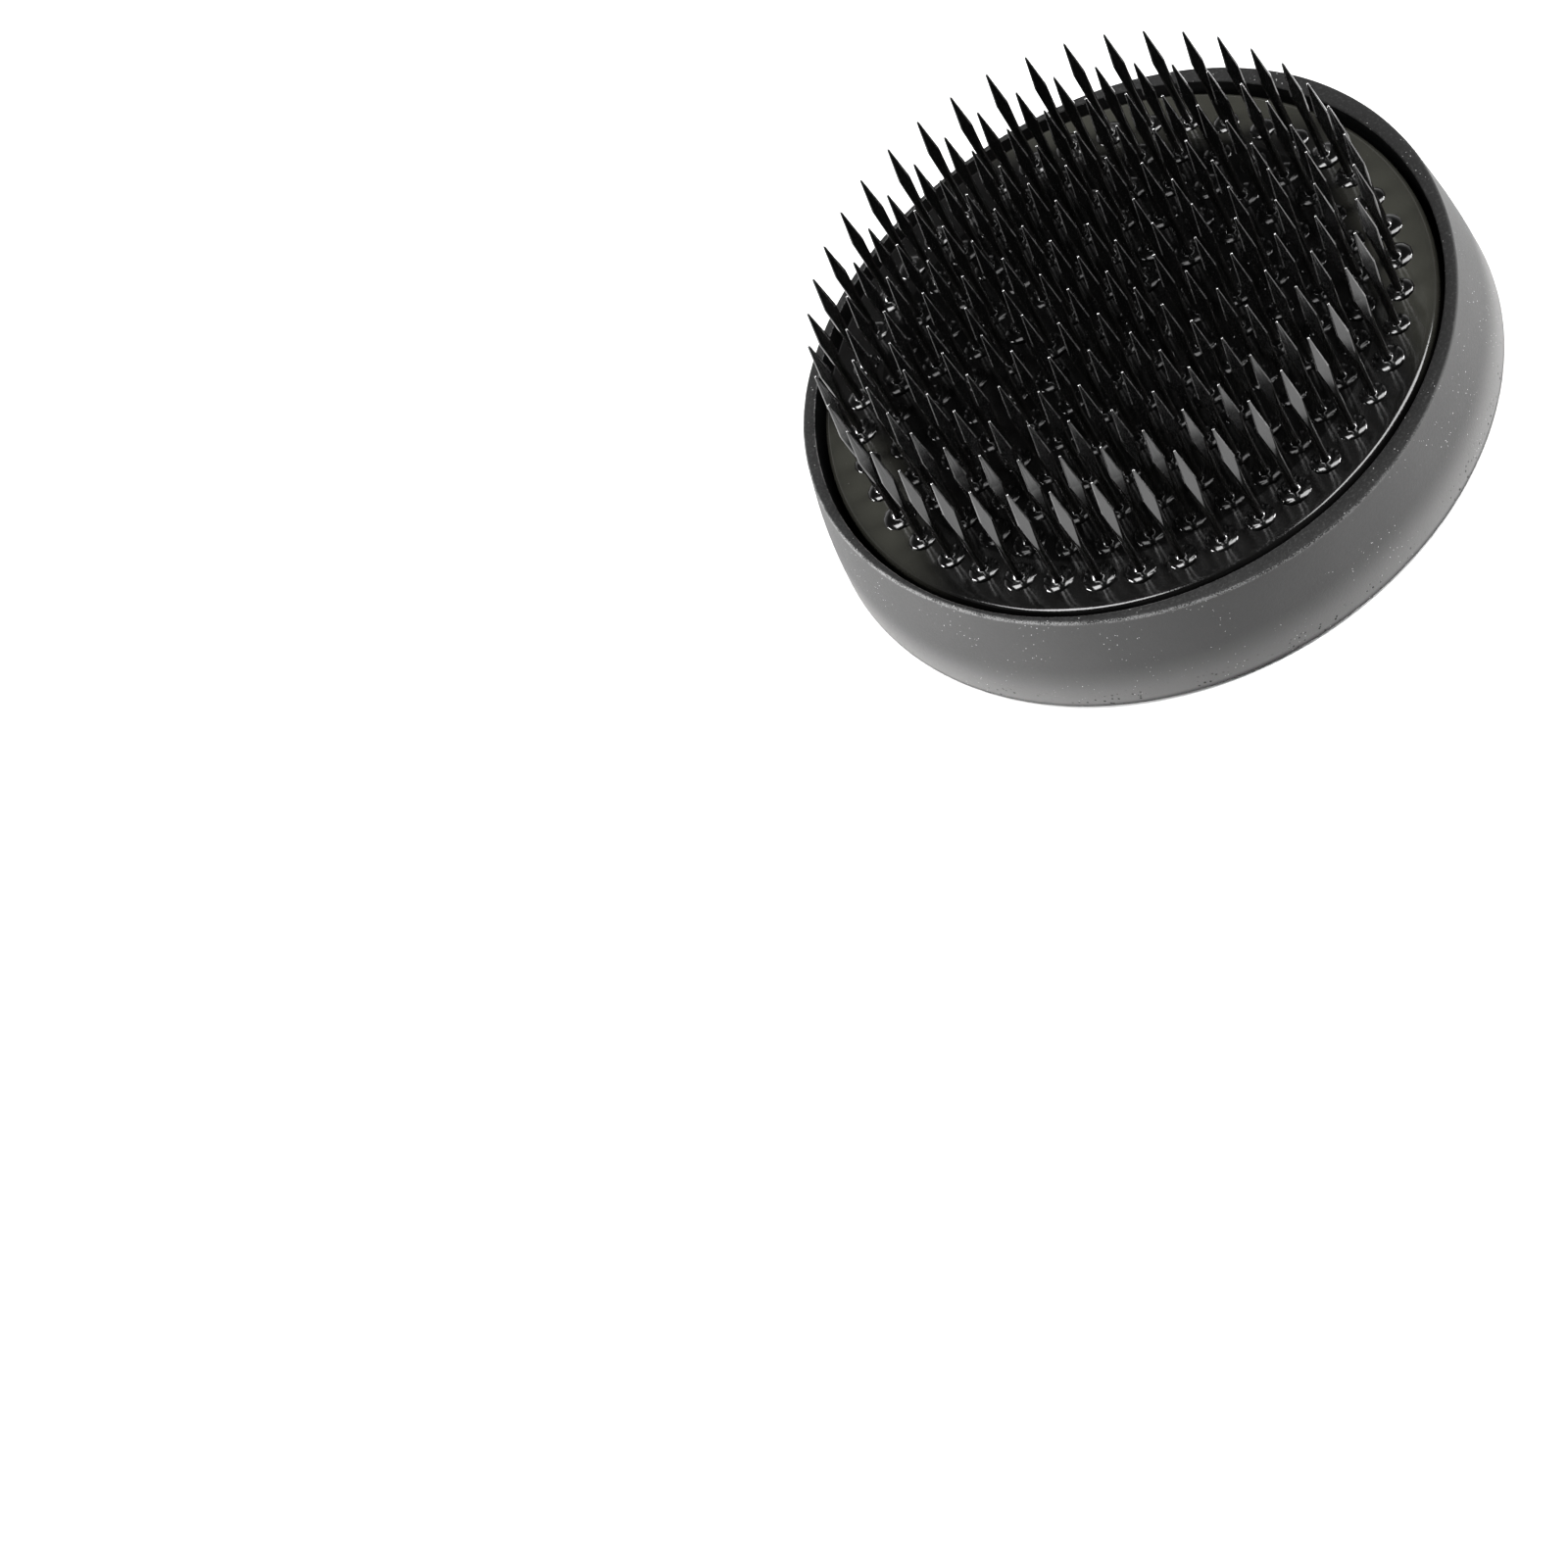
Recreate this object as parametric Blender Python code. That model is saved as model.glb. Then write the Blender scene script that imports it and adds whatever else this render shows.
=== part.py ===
"""A round flower frog (kenzan): 169 pointed needles in a lead base, held in a rubber ring.

The part stands on Z = 0 with its needles up and its axis on Z. Needles stand in rings round a centre
needle, six more in each ring than in the one inside it, and every ring starts on the +X side.
The lead of the base holds each needle by its shaft, with its head in a groove of the underside.
"""

import math

import bmesh
import bpy

MM = 0.001

# Gap between faces that touch on the real object.
SEAT_GAP = 0.3 * MM

# Needles.
NEEDLE_RINGS = 7
NEEDLES_PER_STEP = 6
NEEDLE_PITCH = 4.0 * MM
NEEDLE_STAND = 14.4 * MM
SHAFT_RADIUS = 0.48 * MM
SHAFT_SIDES = 8
POINT_HALF_WIDTH = 0.63 * MM
POINT_FLAT_HALF_WIDTH = 0.50 * MM
POINT_HALF_THICKNESS = 0.28 * MM
POINT_LENGTH = 4.6 * MM
FACET_LENGTH = 8.7 * MM
TIP_RADIUS = 0.12 * MM
POINT_TURN = math.radians(45)
HEAD_RADIUS = 0.85 * MM
HEAD_THICKNESS = 0.7 * MM
HEAD_RECESS = 0.3 * MM

# Rings whose needles are separate nodes; the needles of the others are joined by a hoop at their heads.
SINGLE_RINGS = {1: "needle_inner", NEEDLE_RINGS: "needle_outer"}

# Base casting.
BASE_THICKNESS = 9.3 * MM
BASE_MARGIN = 3.2 * MM
BASE_EDGE_ROUND = 0.7 * MM
NECK_HEIGHT = 4.0 * MM
NECK_STEP = 0.5 * MM
BASE_FOOT_BEVEL = 0.4 * MM
BASE_SEGMENTS = 84
HOLE_SIDES = 6
HOLE_CLEARANCE = 0.25 * MM

# Rubber ring.
LEDGE_THICKNESS = 1.5 * MM
LEDGE_WIDTH = 2.8 * MM
RIM_ABOVE_BASE = 0.6 * MM
RIM_WIDTH = 1.3 * MM
WALL_FLARE = 1.5 * MM
WALL_BELLY = 0.25 * MM
WALL_STEPS = 6
RIM_ROUND = 0.25 * MM
FOOT_ROUND = 1.0 * MM
ROUND_STEPS = 3
RING_SEGMENTS = 84

# Heights.
BASE_BOTTOM = LEDGE_THICKNESS + SEAT_GAP
BASE_TOP = BASE_BOTTOM + BASE_THICKNESS
NEEDLE_TIP = BASE_TOP + NEEDLE_STAND
HEAD_BOTTOM = BASE_BOTTOM + HEAD_RECESS
HEAD_TOP = HEAD_BOTTOM + HEAD_THICKNESS
GROOVE_TOP = HEAD_TOP + SEAT_GAP
RIM_TOP = BASE_TOP + RIM_ABOVE_BASE

# Radii.
BASE_TOP_RADIUS = NEEDLE_RINGS * NEEDLE_PITCH + BASE_MARGIN
NECK_RADIUS = BASE_TOP_RADIUS + BASE_EDGE_ROUND
BASE_RADIUS = NECK_RADIUS + NECK_STEP
RING_BORE = BASE_RADIUS + SEAT_GAP
RIM_RADIUS = RING_BORE + RIM_WIDTH
FOOT_RADIUS = RIM_RADIUS + WALL_FLARE
LEDGE_RADIUS = BASE_RADIUS - LEDGE_WIDTH
GROOVE_HALF_WIDTH = HEAD_RADIUS + SEAT_GAP
# The lead is cast round the needles, so a hole clears the shaft and is narrower than the point.
HOLE_RADIUS = (SHAFT_RADIUS + HOLE_CLEARANCE) / math.cos(math.pi / HOLE_SIDES)


def clear_scene():
    for old in list(bpy.data.objects):
        bpy.data.objects.remove(old, do_unlink=True)


def material(name, colour, roughness, metallic=0.0, coat=0.0):
    made = bpy.data.materials.new(name)
    made.use_nodes = True
    shader = made.node_tree.nodes["Principled BSDF"]
    shader.inputs["Base Color"].default_value = (*colour, 1.0)
    shader.inputs["Roughness"].default_value = roughness
    shader.inputs["Metallic"].default_value = metallic
    shader.inputs["Coat Weight"].default_value = coat
    made.diffuse_color = (*colour, 1.0)
    return made


def add_object(name, bm, surface):
    bmesh.ops.recalc_face_normals(bm, faces=bm.faces)
    mesh = bpy.data.meshes.new(name)
    bm.to_mesh(mesh)
    bm.free()
    mesh.materials.append(surface)
    made = bpy.data.objects.new(name, mesh)
    bpy.context.collection.objects.link(made)
    return made


def add_loft(bm, outlines, closed=False):
    """Joins outlines, each a list of points, into one solid: with end caps, or as a closed loop."""
    loops = [[bm.verts.new(point) for point in outline] for outline in outlines]
    for lower, upper in zip(loops, loops[1:] + loops[:1] if closed else loops[1:]):
        for i in range(len(lower)):
            j = (i + 1) % len(lower)
            bm.faces.new((lower[i], lower[j], upper[j], upper[i]))
    if not closed:
        bm.faces.new(loops[0])
        bm.faces.new(loops[-1])


def circle(radius, z, sides, centre=(0.0, 0.0), turn=0.0):
    angles = (turn + 2 * math.pi * i / sides for i in range(sides))
    return [(centre[0] + radius * math.cos(a), centre[1] + radius * math.sin(a), z) for a in angles]


def arc(centre, radius, start, end, steps):
    """Points (r, z) of a round corner in a lathe profile, with its angles in degrees."""
    angles = (math.radians(start + (end - start) * i / steps) for i in range(steps + 1))
    return [(centre[0] + radius * math.cos(a), centre[1] + radius * math.sin(a)) for a in angles]


def needle_places(ring):
    """Centres of a ring's needles. Ring 0 is the centre needle."""
    count = max(1, NEEDLES_PER_STEP * ring)
    radius = ring * NEEDLE_PITCH
    angles = (2 * math.pi * i / count for i in range(count))
    return [(radius * math.cos(a), radius * math.sin(a)) for a in angles]


def point_outline(centre):
    """The widest section of a needle's point: the wire pinched to a blade with two flats and pointed sides."""
    across = [1, 0, -1, -1, -1, 0, 1, 1]
    along = [1, 1, 1, 0, -1, -1, -1, 0]
    outline = []
    for side, face in zip(across, along):
        half_width = POINT_FLAT_HALF_WIDTH if face else POINT_HALF_WIDTH
        x = centre[0] + side * half_width
        y = centre[1] + face * POINT_HALF_THICKNESS
        outline.append((x, y, NEEDLE_TIP - POINT_LENGTH))
    return outline


def add_needle(bm, centre, with_head):
    """A round shaft with a flattened point. Without a head it starts halfway up the hoop that holds it."""

    def section(radius, z):
        return circle(radius, z, SHAFT_SIDES, centre, POINT_TURN)

    if with_head:
        foot = [section(HEAD_RADIUS, HEAD_BOTTOM), section(HEAD_RADIUS, HEAD_TOP), section(SHAFT_RADIUS, HEAD_TOP)]
    else:
        foot = [section(SHAFT_RADIUS, HEAD_BOTTOM + HEAD_THICKNESS / 2)]
    shaft_end = section(SHAFT_RADIUS, NEEDLE_TIP - FACET_LENGTH)
    add_loft(bm, foot + [shaft_end, point_outline(centre), section(TIP_RADIUS, NEEDLE_TIP)])


def single_needle(name, centre, surface):
    bm = bmesh.new()
    add_needle(bm, centre, with_head=True)
    return add_object(name, bm, surface)


def add_hoop(bm, ring, half_width, bottom, top):
    """A square-edged hoop on a needle ring, with its corners on the needles and halfway between them."""
    radius = ring * NEEDLE_PITCH
    sides = 2 * NEEDLES_PER_STEP * ring
    inner, outer = radius - half_width, radius + half_width
    profile = [(inner, bottom), (outer, bottom), (outer, top), (inner, top)]
    add_loft(bm, [circle(r, z, sides) for r, z in profile], closed=True)


def boolean(target, tool, operation):
    """Applies one exact Boolean and removes the tool."""
    step = target.modifiers.new(operation.lower(), "BOOLEAN")
    step.operation = operation
    step.solver = "EXACT"
    step.object = tool
    graph = bpy.context.evaluated_depsgraph_get()
    result = bpy.data.meshes.new_from_object(target.evaluated_get(graph), depsgraph=graph)
    target.modifiers.remove(step)
    target.data = result
    bpy.data.objects.remove(tool, do_unlink=True)


def joined_ring(name, ring, surface):
    """All needles of one ring as one solid: a hoop takes the place of their separate heads."""
    bm = bmesh.new()
    add_hoop(bm, ring, HEAD_RADIUS, HEAD_BOTTOM, HEAD_TOP)
    hoop = add_object(name, bm, surface)
    bm = bmesh.new()
    for centre in needle_places(ring):
        add_needle(bm, centre, with_head=False)
    boolean(hoop, add_object(name + "_shafts", bm, surface), "UNION")
    return hoop


def needle_base(surface):
    """The casting: a disc with a narrower neck, a groove for each ring's heads and a hole for each needle."""
    shoulder = BASE_TOP - NECK_HEIGHT
    edge = arc((BASE_TOP_RADIUS, BASE_TOP - BASE_EDGE_ROUND), BASE_EDGE_ROUND, 0, 90, ROUND_STEPS)
    side = [
        (BASE_RADIUS - BASE_FOOT_BEVEL, BASE_BOTTOM),
        (BASE_RADIUS, BASE_BOTTOM + BASE_FOOT_BEVEL),
        (BASE_RADIUS, shoulder - NECK_STEP),
        (NECK_RADIUS, shoulder),
    ]
    bm = bmesh.new()
    add_loft(bm, [circle(r, z, BASE_SEGMENTS) for r, z in side + edge])
    base = add_object("needle_base", bm, surface)

    below = BASE_BOTTOM - SEAT_GAP
    above = BASE_TOP + SEAT_GAP
    bm = bmesh.new()
    pocket = [circle(GROOVE_HALF_WIDTH, z, SHAFT_SIDES, turn=POINT_TURN) for z in (below, GROOVE_TOP)]
    add_loft(bm, pocket)
    for ring in range(1, NEEDLE_RINGS + 1):
        add_hoop(bm, ring, GROOVE_HALF_WIDTH, below, GROOVE_TOP)
    boolean(base, add_object("head_grooves", bm, surface), "DIFFERENCE")

    # Each hole starts inside its groove, where the groove has already been cut away.
    bm = bmesh.new()
    for ring in range(NEEDLE_RINGS + 1):
        for centre in needle_places(ring):
            ends = (HEAD_TOP, above)
            add_loft(bm, [circle(HOLE_RADIUS, z, HOLE_SIDES, centre, POINT_TURN) for z in ends])
    boolean(base, add_object("needle_holes", bm, surface), "DIFFERENCE")
    return base


def rubber_ring(surface):
    """The ring: a ledge under the base, a wall that widens and bulges towards its foot, and a flat rim."""
    wall_top = RIM_TOP - RIM_ROUND
    wall = []
    for i in range(WALL_STEPS + 1):
        t = i / WALL_STEPS
        radius = FOOT_RADIUS - WALL_FLARE * t + WALL_BELLY * math.sin(math.pi * t)
        wall.append((radius, FOOT_ROUND + (wall_top - FOOT_ROUND) * t))
    foot = arc((FOOT_RADIUS - FOOT_ROUND, FOOT_ROUND), FOOT_ROUND, -90, 0, ROUND_STEPS)
    rim = arc((RIM_RADIUS - RIM_ROUND, wall_top), RIM_ROUND, 0, 90, ROUND_STEPS)
    inside = [
        (RING_BORE, RIM_TOP),
        (RING_BORE, LEDGE_THICKNESS),
        (LEDGE_RADIUS, LEDGE_THICKNESS),
        (LEDGE_RADIUS, 0.0),
    ]
    bm = bmesh.new()
    add_loft(bm, [circle(r, z, RING_SEGMENTS) for r, z in foot + wall[1:] + rim[1:] + inside], closed=True)
    return add_object("rubber_ring", bm, surface)


def build():
    clear_scene()
    painted_lead = material("painted_lead", (0.022, 0.022, 0.020), roughness=0.22, coat=0.6)
    enamel = material("needle_enamel", (0.02, 0.02, 0.02), roughness=0.2, coat=0.6)
    rubber = material("grey_rubber", (0.075, 0.078, 0.08), roughness=0.75)

    rubber_ring(rubber)
    needle_base(painted_lead)
    single_needle("needle_centre", needle_places(0)[0], enamel)
    for ring in range(1, NEEDLE_RINGS + 1):
        if ring not in SINGLE_RINGS:
            joined_ring(f"needle_ring_{ring}", ring, enamel)
            continue
        for number, centre in enumerate(needle_places(ring), start=1):
            single_needle(f"{SINGLE_RINGS[ring]}_{number:02d}", centre, enamel)


build()
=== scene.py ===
"""Looks for a round flower frog (kenzan): enamelled needles, a lacquered base, a worn rubber ring.

Units are metres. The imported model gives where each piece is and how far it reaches. The sizes
here are the finer ones that it doesn't give.
"""

import math

import bmesh
import bpy
from mathutils import Matrix, Vector, noise


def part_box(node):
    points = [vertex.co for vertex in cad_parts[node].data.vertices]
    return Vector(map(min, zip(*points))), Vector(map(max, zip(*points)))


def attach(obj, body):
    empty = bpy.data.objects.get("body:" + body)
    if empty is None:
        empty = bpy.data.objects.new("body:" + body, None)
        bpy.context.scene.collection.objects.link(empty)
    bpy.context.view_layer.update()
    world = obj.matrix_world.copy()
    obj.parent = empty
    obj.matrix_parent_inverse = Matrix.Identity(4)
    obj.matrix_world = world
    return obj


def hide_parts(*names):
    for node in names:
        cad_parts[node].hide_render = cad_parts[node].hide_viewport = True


MM = 0.001

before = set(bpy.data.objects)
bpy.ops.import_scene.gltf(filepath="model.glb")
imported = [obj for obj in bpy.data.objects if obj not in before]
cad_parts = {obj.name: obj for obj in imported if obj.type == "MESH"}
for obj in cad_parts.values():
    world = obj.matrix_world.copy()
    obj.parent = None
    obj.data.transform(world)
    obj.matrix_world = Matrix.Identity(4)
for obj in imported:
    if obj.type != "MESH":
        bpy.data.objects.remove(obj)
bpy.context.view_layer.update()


# ---------------------------------------------------------------- places from the frame

def corners(node):
    """A node's lowest and highest corners."""
    low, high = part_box(node)
    return Vector(low), Vector(high)


BASE_LOW, BASE_HIGH = corners("needle_base")
RING_LOW, RING_HIGH = corners("rubber_ring")
NEEDLE_LOW, NEEDLE_HIGH = corners("needle_centre")

BASE_BOTTOM = BASE_LOW.z
BASE_TOP = BASE_HIGH.z
BASE_RADIUS = BASE_HIGH.x
RIM_TOP = RING_HIGH.z
FOOT_RADIUS = RING_HIGH.x
NEEDLE_TIP = NEEDLE_HIGH.z
HEAD_RADIUS = (NEEDLE_HIGH.x - NEEDLE_LOW.x) / 2

# Needle rows: each holds six more needles than the one inside it.
ROWS = 7
NEEDLES_PER_STEP = 6
OUTER_LOW, OUTER_HIGH = corners("needle_outer_01")
NEEDLE_PITCH = (OUTER_LOW.x + OUTER_HIGH.x) / 2 / ROWS
SINGLE_ROWS = {1: "needle_inner", ROWS: "needle_outer"}


# ---------------------------------------------------------------- node building

class Link:
    """An output socket. Arithmetic on it adds Math nodes."""

    def __init__(self, tree, socket):
        self.tree = tree
        self.socket = socket

    def math(self, operation, *values):
        kind = "ShaderNodeMath"
        return self.tree.add(kind, {"operation": operation}, dict(enumerate(values)))["Value"]

    def __add__(self, other):
        return self.math("ADD", self, other)

    def __sub__(self, other):
        return self.math("SUBTRACT", self, other)

    def __rsub__(self, other):
        return self.math("SUBTRACT", other, self)

    def __mul__(self, other):
        return self.math("MULTIPLY", self, other)

    def __truediv__(self, other):
        return self.math("DIVIDE", self, other)

    __radd__ = __add__
    __rmul__ = __mul__

    def maximum(self, other):
        return self.math("MAXIMUM", self, other)

    def square_root(self):
        return self.math("SQRT", self)

    def cosine(self):
        return self.math("COSINE", self)

    def sine(self):
        return self.math("SINE", self)

    def matches(self, number):
        """1 where this whole number is the one given, else 0."""
        return self.math("COMPARE", self, number, 0.5)

    def above(self, edge, soft):
        """0 below the edge and 1 above it, with a soft step."""
        step = self.tree.add(
            "ShaderNodeMapRange",
            {"interpolation_type": "SMOOTHSTEP"},
            {"Value": self, "From Min": edge - soft, "From Max": edge + soft},
        )
        return step["Result"]

    def below(self, edge, soft):
        """1 below the edge and 0 above it, with a soft step."""
        return 1 - self.above(edge, soft)


class Made:
    """A node whose outputs are picked by name."""

    def __init__(self, tree, node):
        self.tree = tree
        self.node = node

    def __getitem__(self, name):
        return Link(self.tree, self.node.outputs[name])


class Tree:
    """Adds nodes to a node tree: settings first, then the values or links of the sockets."""

    def __init__(self, tree):
        self.tree = tree

    def add(self, kind, settings=None, sockets=None):
        node = self.tree.nodes.new(kind)
        for name, value in (settings or {}).items():
            if name == "stops":
                self.set_stops(node.color_ramp, value)
            else:
                setattr(node, name, value)
        for name, value in (sockets or {}).items():
            if isinstance(value, Link):
                self.tree.links.new(value.socket, node.inputs[name])
            else:
                node.inputs[name].default_value = value
        return Made(self, node)

    @staticmethod
    def set_stops(ramp, stops):
        while len(ramp.elements) < len(stops):
            ramp.elements.new(1.0)
        for element, (place, colour) in zip(ramp.elements, stops):
            element.position = place
            element.color = colour


# Some nodes repeat a socket's name for each data type, so these go by number.
COLOUR_FACTOR, COLOUR_A, COLOUR_B = 0, 6, 7
COLOUR_RESULT = 2
# Low, high and result.
RANDOM_VECTOR = (0, 1, 0)
RANDOM_FLOAT = (2, 3, 1)


class Surface(Tree):
    """A material with one Principled shader on Object coordinates."""

    def __init__(self, name):
        self.material = bpy.data.materials.new(name)
        self.material.use_nodes = True
        super().__init__(self.material.node_tree)
        self.tree.nodes.clear()
        self.place = self.add("ShaderNodeTexCoord")["Object"]
        axes = self.add("ShaderNodeSeparateXYZ", sockets={"Vector": self.place})
        self.x, self.y, self.z = axes["X"], axes["Y"], axes["Z"]

    def noise(self, size, detail=2.0, roughness=0.5):
        """Noise whose blotches are about `size` across. Its mean is about 0.5."""
        sockets = {
            "Vector": self.place,
            "Scale": 1 / size,
            "Detail": detail,
            "Roughness": roughness,
        }
        return self.add("ShaderNodeTexNoise", {"noise_dimensions": "3D"}, sockets)["Fac"]

    def cells(self, size):
        """Distance from the nearest of points that are about `size` apart, in units of size."""
        sockets = {"Vector": self.place, "Scale": 1 / size}
        return self.add("ShaderNodeTexVoronoi", sockets=sockets)["Distance"]

    def mix(self, factor, first, second):
        """Mixes two colours."""
        sockets = {COLOUR_FACTOR: factor, COLOUR_A: first, COLOUR_B: second}
        made = self.add("ShaderNodeMix", {"data_type": "RGBA"}, sockets)
        return Link(self, made.node.outputs[COLOUR_RESULT])

    def bump(self, height, depth, below=None):
        """A Bump node for a height field of 0 to 1 that is `depth` metres deep."""
        sockets = {"Height": height, "Strength": 1.0, "Distance": depth}
        if below is not None:
            sockets["Normal"] = below
        return self.add("ShaderNodeBump", sockets=sockets)["Normal"]

    def finish(self, sockets):
        shader = self.add("ShaderNodeBsdfPrincipled", sockets=sockets)
        output = self.add("ShaderNodeOutputMaterial")
        self.tree.links.new(shader["BSDF"].socket, output.node.inputs["Surface"])
        return self.material


def grey(value, warmth=0.0):
    """A near-grey colour. Warmth shifts it from blue towards yellow."""
    return (value * (1 + warmth), value, value * (1 - warmth), 1.0)


# ---------------------------------------------------------------- materials

# Pairs are the edge and the softness of a step.
ENAMEL_PATCH_SIZE = 3.0 * MM
DULL_PATCHES = (0.62, 0.12)
PEEL_SIZE = 0.35 * MM
PEEL_DEPTH = 0.006 * MM
BARE_TIP_SHARE = 0.6
BARE_TIP_SOFT = 0.03 * MM


def needle_enamel():
    """Black enamel on wire: glossy and faintly dimpled, with a few dull patches and a bare tip."""
    paint = Surface("needle_enamel")
    patches = paint.noise(ENAMEL_PATCH_SIZE, detail=3.0)
    peel = paint.noise(PEEL_SIZE, detail=1.0)
    bare_tip = paint.z.above(NEEDLE_TIP - BARE_TIP_SHARE * TIP_RADIUS, BARE_TIP_SOFT)
    enamel = paint.mix(patches, grey(0.002), grey(0.005, 0.05))
    return paint.finish({
        "Base Color": paint.mix(bare_tip, enamel, grey(0.22)),
        "Metallic": bare_tip,
        "Roughness": 0.08 + patches.above(*DULL_PATCHES) * 0.10 + bare_tip * 0.15,
        "IOR": 1.50,
        "Normal": paint.bump(peel, PEEL_DEPTH),
    })


COLLAR_PATCH_SIZE = 0.8 * MM


def collar_lacquer(name, ior):
    """The black lacquer of the collars, without a bump. Its index sets how glossy it is; the lower
    index of the inner rows makes a duller copy that is painted shade among the needles.
    """
    paint = Surface(name)
    return paint.finish({
        "Base Color": grey(0.0008),
        "Roughness": 0.08 + paint.noise(COLLAR_PATCH_SIZE) * 0.08,
        "IOR": ior,
    })


FLAT_PATCH_SIZE = 1.5 * MM


def pinched_flat():
    """The two flats of a point, less glossy than the round wire."""
    paint = Surface("pinched_flat")
    patches = paint.noise(FLAT_PATCH_SIZE, detail=3.0)
    return paint.finish({
        "Base Color": paint.mix(patches, grey(0.003), grey(0.009)),
        "Roughness": 0.12 + patches * 0.12,
        "IOR": 1.60,
    })


HIGHLIGHT_PATCH_SIZE = 1.2 * MM
HIGHLIGHT_PATCHES = (0.45, 0.15)


def rubbed_edge():
    """The narrow bevels beside the flats, with grey patches: painted highlight, standing in for the
    thin bright lines of light along the needles' edges.
    """
    paint = Surface("rubbed_edge")
    painted_highlight = paint.noise(HIGHLIGHT_PATCH_SIZE, detail=3.0).above(*HIGHLIGHT_PATCHES)
    return paint.finish({
        "Base Color": paint.mix(painted_highlight, grey(0.005), grey(0.036)),
        "Roughness": 0.30 - painted_highlight * 0.08,
        "IOR": 1.60,
    })


# A painted sheen, a lighter colour that stands in for light reflected by the plate, starts this far
# out to the left, to the right and towards the far right. To the left it fades towards the back.
SHEEN_START = 26.5 * MM
SHEEN_AND_DUST_SOFT = 3.0 * MM
SHEEN_DEPTH = 0.3 * MM
FAR_SHEEN = math.radians(65)
LEFT_FADE = 0.5
PAINTED_SHEEN_COLOUR = (0.0235, 0.0235, 0.0195, 1.0)
DUST_START = 27.0 * MM
CLOUD_SIZE = 6.0 * MM
RIPPLE_SIZE = 1.4 * MM
RIPPLE_DEPTH = 0.008 * MM
GRAIN_SIZE = 0.25 * MM
GRAIN_DEPTH = 0.004 * MM
ROUGH_GRAIN = (0.60, 0.10)
SPECK_SPACING = 0.9 * MM
SPECK_EDGE = (0.10, 0.03)


def base_lacquer(name, ior):
    """Black lacquer over the lead: slightly wavy, dusty at the margin, with a painted sheen at
    three sides.
    """
    paint = Surface(name)
    cloud = paint.noise(CLOUD_SIZE, detail=3.0)
    ripple = paint.noise(RIPPLE_SIZE, detail=2.0)
    grain = paint.noise(GRAIN_SIZE, detail=2.0)
    specks = paint.cells(SPECK_SPACING).below(*SPECK_EDGE)
    left = -1.0 * paint.x - paint.y.maximum(0.0) * LEFT_FADE
    far_right = paint.x * math.cos(FAR_SHEEN) + paint.y * math.sin(FAR_SHEEN)
    reach = paint.x.maximum(left).maximum(far_right)
    # Painted sheen: the plate is made lighter at its left, right and far right, where it shows more
    # reflected light, and mottled by the cloud.
    painted_sheen = reach.above(SHEEN_START, SHEEN_AND_DUST_SOFT) * (0.55 + cloud * 0.9)
    painted_sheen = painted_sheen * paint.z.above(BASE_TOP - BASE_EDGE_ROUND, SHEEN_DEPTH)
    radius = (paint.x * paint.x + paint.y * paint.y).square_root()
    margin = radius.above(DUST_START, SHEEN_AND_DUST_SOFT)
    dusty = paint.mix(margin, grey(0.0008), grey(0.0050, 0.02))
    black = paint.mix(cloud, grey(0.0006), dusty)
    waves = paint.bump(ripple, RIPPLE_DEPTH)
    return paint.finish({
        "Base Color": paint.mix(painted_sheen, black, PAINTED_SHEEN_COLOUR),
        "Roughness": 0.12 + grain.above(*ROUGH_GRAIN) * 0.08 + specks * 0.12,
        "IOR": ior,
        "Normal": paint.bump(grain, GRAIN_DEPTH, below=waves),
    })


# Heights on the rubber ring are 0 at its foot and 1 at the top of its rim.
WALL_TOP = (0.985, 0.012)
SCUFF_FROM = (0.972, 0.009)
SCUFF_TO = (0.997, 0.004)
# Painted on the wall: light towards the foot, and shade at the very bottom.
PAINTED_FLOOR_LIGHT = (0.27, 0.25)
PAINTED_FOOT_SHADE = (0.050, 0.03)
PIT_BAND = (0.17, 0.07)
RUBBER_CLOUD_SIZE = 9.0 * MM
RUBBER_GRAIN_SIZE = 0.30 * MM
RUBBER_GRAIN_DEPTH = 0.022 * MM
RUBBER_SPECKLE = (0.58, 0.08)
SCUFF_SIZE = 0.14 * MM
SCUFF_PATCH_SIZE = 2.5 * MM
SCUFF_EDGE = (0.50, 0.05)
SCUFFED_SIDE = (0.0, 22 * MM)
DUST_SPACING = 0.45 * MM
DUST_EDGE = (0.085, 0.025)
DUST_PATCH_SIZE = 5.0 * MM
DUST_PATCHES = (0.55, 0.06)
PIT_SPACING = 0.62 * MM
PIT_EDGE = (0.20, 0.05)
PIT_DEPTH = 0.06 * MM
PIT_PATCH_SIZE = 4.0 * MM
PIT_PATCHES = (0.47, 0.08)


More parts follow.
